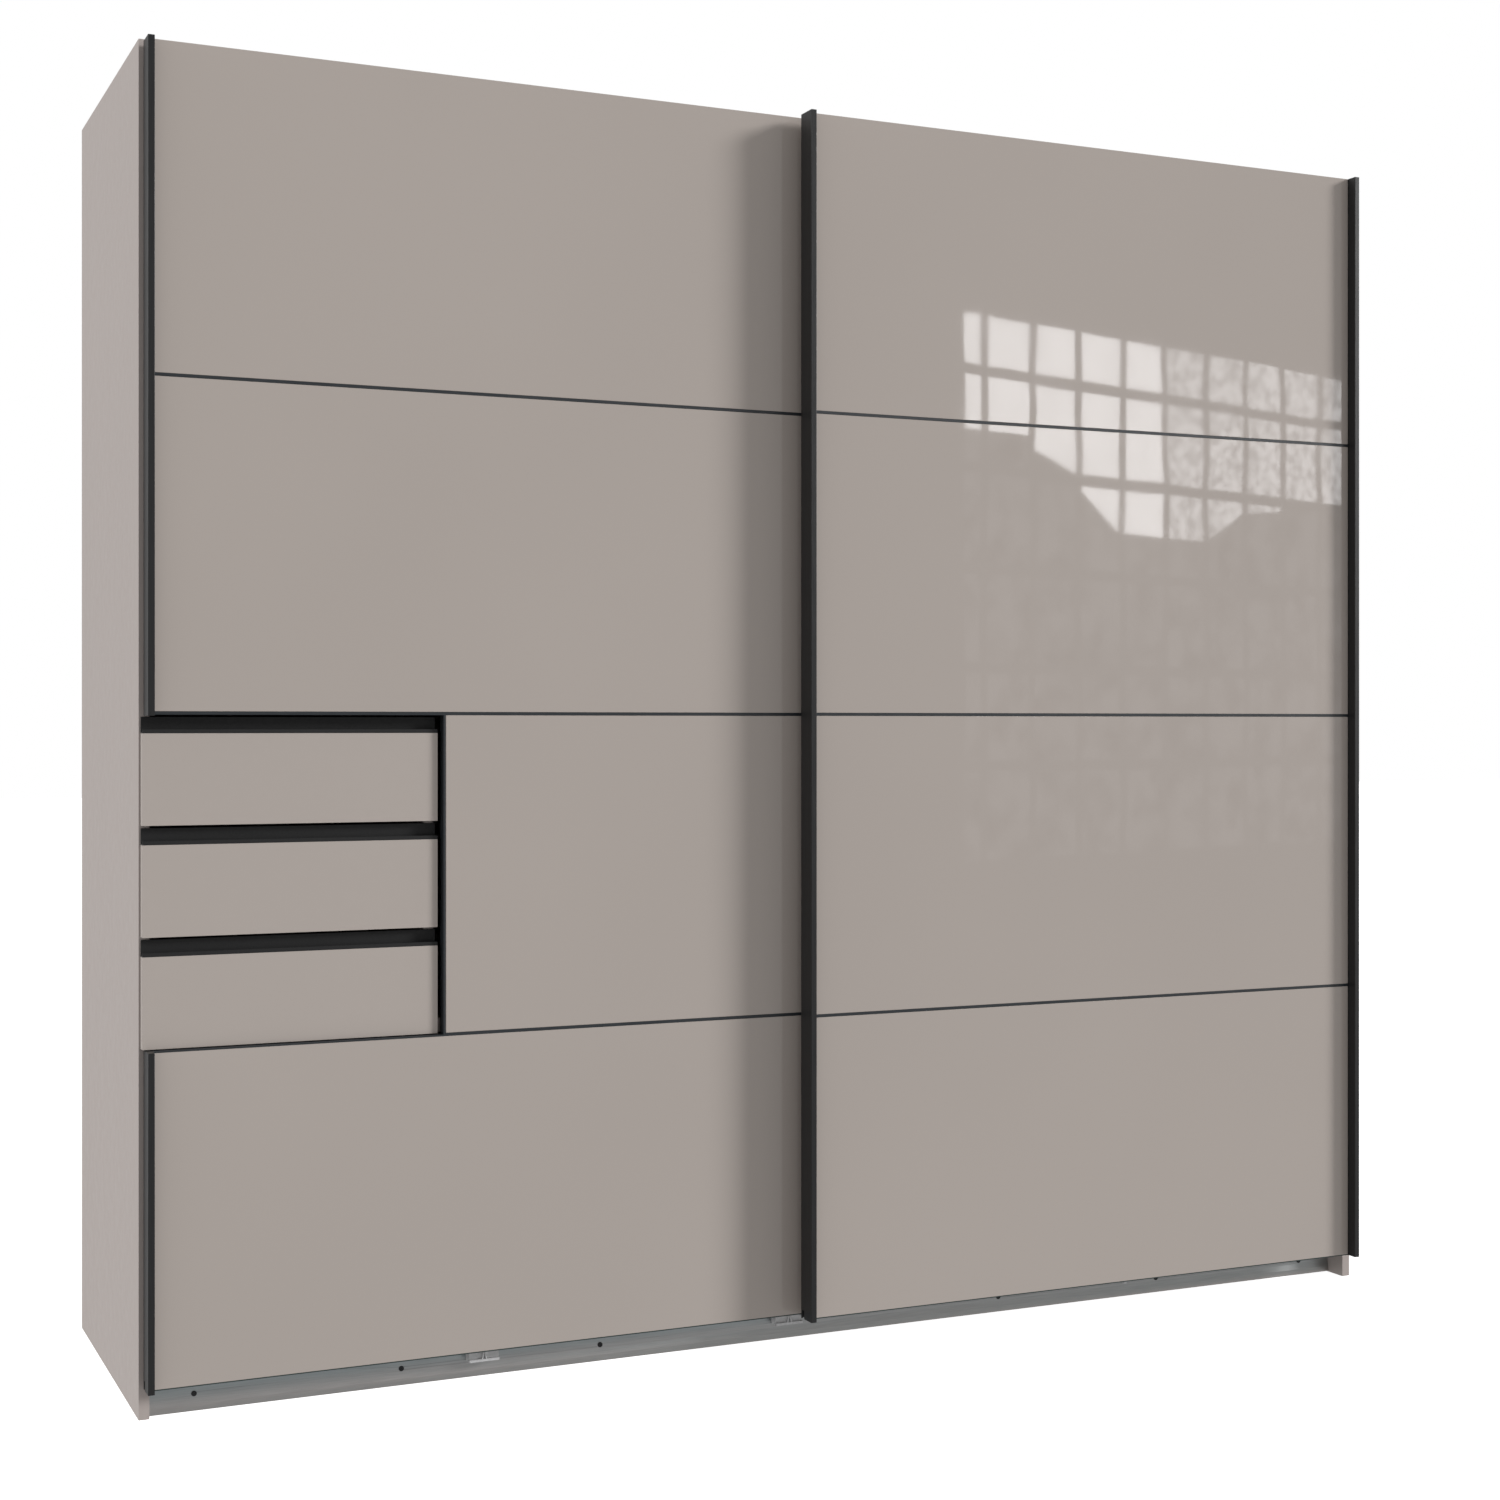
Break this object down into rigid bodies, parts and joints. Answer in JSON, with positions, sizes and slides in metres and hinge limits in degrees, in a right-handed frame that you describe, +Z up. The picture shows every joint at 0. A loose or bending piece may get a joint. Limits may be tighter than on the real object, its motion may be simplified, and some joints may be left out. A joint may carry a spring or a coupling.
{
  "type": "sliding door wardrobe",
  "caption": "Wide wardrobe with overlapping hanging doors of lacquered glass on an overhead track and a drawer block that opens through a window in the inner door.",
  "frame": {"origin": "on the floor, in the middle of the wardrobe's bounding box", "axes": "+X along the width to the viewer's right, +Y from the doors to the wall, +Z up"},
  "size_m": [2.25, 0.665, 2.08],
  "materials": {
    "laminate": "satin melamine-faced board, warm grey-beige",
    "laminate_front": "satin melamine-faced board, warm grey-beige",
    "inner_laminate": "matt melamine-faced board with a faint linen print",
    "back_sheet": "printed hardboard sheet, matt",
    "door_board": "melamine-faced board behind the glass",
    "lacquered_glass_left": "glass lacquered on its back, satin",
    "lacquered_glass_right": "glass lacquered on its back, glossy",
    "dark_aluminium": "black anodised, satin",
    "mill_aluminium": "natural anodised, brushed",
    "zinc_fittings": "bright zinc plated",
    "dark_screws": "black zinc plated",
    "chrome_tube": "polished",
    "grip_plastic": "matt black coated extrusion",
    "grey_plastic": "moulded, matt",
    "pale_plastic": "moulded, satin",
    "white_plastic": "extruded, matt",
    "wheel_plastic": "acetal, smooth"
  },
  "bodies": {
    "carcass": {"side_panel_left": "laminate", "side_panel_right": "laminate", "middle_partition": "inner_laminate", "top_panel_left": "inner_laminate", "top_panel_right": "inner_laminate", "bottom_panel_left": "inner_laminate", "bottom_panel_right": "inner_laminate", "cam_fittings": "zinc_fittings", "plinth_boards": "inner_laminate", "back_sheets": "back_sheet", "back_joint_profiles": "white_plastic", "hat_shelves": "inner_laminate", "shelf_pins": "zinc_fittings", "drawer_shelf": "laminate", "clothes_rails": "chrome_tube", "clothes_rail_cups": "grey_plastic", "wall_brackets": "zinc_fittings", "wall_bracket_screws": "zinc_fittings", "upper_track": "mill_aluminium", "door_stops": "grey_plastic", "lower_rail": "mill_aluminium", "lower_rail_screws": "dark_screws", "bottom_guides": "pale_plastic", "drawer_block_divider": "laminate", "drawer_block_top": "laminate", "drawer_slide_fixed": "zinc_fittings"},
    "left_door": {"left_door_board": "door_board", "left_door_panes": "lacquered_glass_left", "left_door_joint_strips": "dark_aluminium", "left_door_window_profile": "dark_aluminium", "left_door_upper_stile": "dark_aluminium", "left_door_lower_stile": "dark_aluminium", "left_door_hangers": "zinc_fittings", "left_door_hanger_screws": "zinc_fittings"},
    "right_door": {"right_door_board": "door_board", "right_door_panes": "lacquered_glass_right", "right_door_joint_strips": "dark_aluminium", "right_door_left_stile": "dark_aluminium", "right_door_right_stile": "dark_aluminium", "right_door_hangers": "zinc_fittings", "right_door_hanger_screws": "zinc_fittings"},
    "left_door_wheel_left": {"left_door_wheel_left": "wheel_plastic"},
    "left_door_wheel_right": {"left_door_wheel_right": "wheel_plastic"},
    "right_door_wheel_left": {"right_door_wheel_left": "wheel_plastic"},
    "right_door_wheel_right": {"right_door_wheel_right": "wheel_plastic"},
    "drawer_1": {"drawer_1_front": "laminate_front", "drawer_1_grip": "grip_plastic", "drawer_1_box": "inner_laminate", "drawer_1_slide_inner": "zinc_fittings"},
    "drawer_1_middle_slide": {"drawer_1_slide_middle": "zinc_fittings"},
    "drawer_2": {"drawer_2_front": "laminate_front", "drawer_2_grip": "grip_plastic", "drawer_2_box": "inner_laminate", "drawer_2_slide_inner": "zinc_fittings"},
    "drawer_2_middle_slide": {"drawer_2_slide_middle": "zinc_fittings"},
    "drawer_3": {"drawer_3_front": "laminate_front", "drawer_3_grip": "grip_plastic", "drawer_3_box": "inner_laminate", "drawer_3_slide_inner": "zinc_fittings"},
    "drawer_3_middle_slide": {"drawer_3_slide_middle": "zinc_fittings"}
  },
  "joints": [
    {"name": "left_door_slide", "type": "slide", "parent": "carcass", "child": "left_door", "axis": [1, 0, 0], "range_m": [0, 1.06]},
    {"name": "right_door_slide", "type": "slide", "parent": "carcass", "child": "right_door", "axis": [1, 0, 0], "range_m": [-1.06, 0]},
    {"name": "left_door_wheel_left_spin", "type": "hinge", "parent": "left_door", "child": "left_door_wheel_left", "pos_m": [-0.969, -0.2175, 2.0433], "axis": [0, 1, 0], "continuous": true},
    {"name": "left_door_wheel_right_spin", "type": "hinge", "parent": "left_door", "child": "left_door_wheel_right", "pos_m": [-0.125, -0.2175, 2.0433], "axis": [0, 1, 0], "continuous": true},
    {"name": "right_door_wheel_left_spin", "type": "hinge", "parent": "right_door", "child": "right_door_wheel_left", "pos_m": [0.11, -0.1825, 2.0433], "axis": [0, 1, 0], "continuous": true},
    {"name": "right_door_wheel_right_spin", "type": "hinge", "parent": "right_door", "child": "right_door_wheel_right", "pos_m": [0.954, -0.1825, 2.0433], "axis": [0, 1, 0], "continuous": true},
    {"name": "drawer_1_slide", "type": "slide", "parent": "carcass", "child": "drawer_1", "axis": [0, -1, 0], "range_m": [0, 0.4]},
    {"name": "drawer_1_middle_slide", "type": "slide", "parent": "carcass", "child": "drawer_1_middle_slide", "axis": [0, -1, 0], "range_m": [0, 0.2]},
    {"name": "drawer_2_slide", "type": "slide", "parent": "carcass", "child": "drawer_2", "axis": [0, -1, 0], "range_m": [0, 0.4]},
    {"name": "drawer_2_middle_slide", "type": "slide", "parent": "carcass", "child": "drawer_2_middle_slide", "axis": [0, -1, 0], "range_m": [0, 0.2]},
    {"name": "drawer_3_slide", "type": "slide", "parent": "carcass", "child": "drawer_3", "axis": [0, -1, 0], "range_m": [0, 0.4]},
    {"name": "drawer_3_middle_slide", "type": "slide", "parent": "carcass", "child": "drawer_3_middle_slide", "axis": [0, -1, 0], "range_m": [0, 0.2]}
  ],
  "couplings": [
    {"joint": "left_door_wheel_left_spin", "follows": "left_door_slide", "rad_per_m": 111.11},
    {"joint": "left_door_wheel_right_spin", "follows": "left_door_slide", "rad_per_m": 111.11},
    {"joint": "right_door_wheel_left_spin", "follows": "right_door_slide", "rad_per_m": 111.11},
    {"joint": "right_door_wheel_right_spin", "follows": "right_door_slide", "rad_per_m": 111.11},
    {"joint": "drawer_1_middle_slide", "follows": "drawer_1_slide", "ratio": 0.5},
    {"joint": "drawer_2_middle_slide", "follows": "drawer_2_slide", "ratio": 0.5},
    {"joint": "drawer_3_middle_slide", "follows": "drawer_3_slide", "ratio": 0.5}
  ]
}
